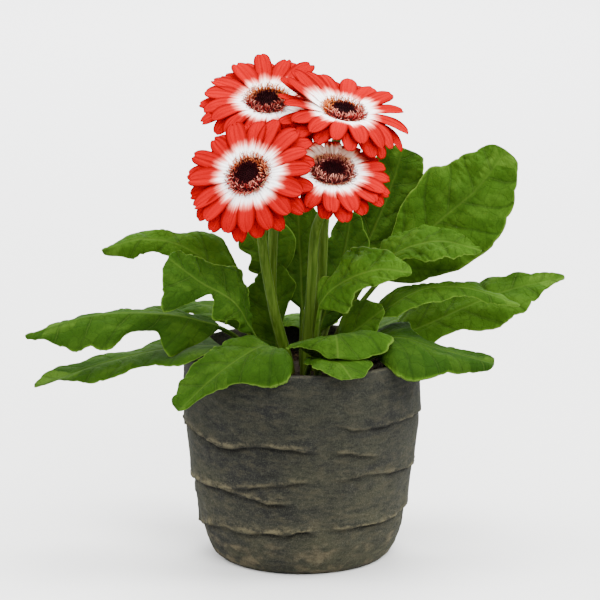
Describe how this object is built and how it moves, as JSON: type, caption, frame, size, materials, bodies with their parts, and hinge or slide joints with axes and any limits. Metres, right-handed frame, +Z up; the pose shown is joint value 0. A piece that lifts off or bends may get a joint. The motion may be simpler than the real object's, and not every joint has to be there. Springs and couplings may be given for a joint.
{
  "type": "potted gerbera",
  "caption": "Gerbera plant in a round ridged clay pot, with lobed drooping leaves and red and white daisy blooms on bare stems.",
  "frame": {"origin": "centre of the pot's flat base", "axes": "+Z up along the pot's axis, -Y towards the front that the blooms face, +X to the right seen from the front"},
  "size_m": [0.341, 0.2162, 0.3141],
  "materials": {
    "clay": "matte",
    "soil": "matte",
    "crown": "matte",
    "leaf": "satin",
    "stem": "satin",
    "petal": "satin",
    "disc": "matte"
  },
  "bodies": {
    "root": {"pot": "clay", "soil": "soil", "crown": "crown", "leaf_left_top": "leaf", "leaf_left_inner": "leaf", "leaf_left_long": "leaf", "leaf_left_low": "leaf", "leaf_front_left": "leaf", "leaf_back_stem": "leaf", "leaf_back_middle": "leaf", "leaf_back_left": "leaf", "leaf_right_top": "leaf", "leaf_back_right": "leaf", "leaf_back_inner": "leaf", "leaf_right_upper": "leaf", "leaf_right_long": "leaf", "leaf_right_middle": "leaf", "leaf_front_crinkled": "leaf", "leaf_right_low": "leaf", "leaf_front_short": "leaf", "leaf_front_rim": "leaf", "leaf_right_inner": "leaf", "leaf_back_right_low": "leaf", "leaf_back_low": "leaf", "leaf_back_left_low": "leaf", "stem_front_left": "stem", "petals_front_left": "petal", "disc_front_left": "disc", "stem_back_left": "stem", "petals_back_left": "petal", "disc_back_left": "disc", "stem_front_right": "stem", "petals_front_right": "petal", "disc_front_right": "disc", "stem_back_right": "stem", "petals_back_right": "petal", "disc_back_right": "disc"}
  },
  "joints": []
}
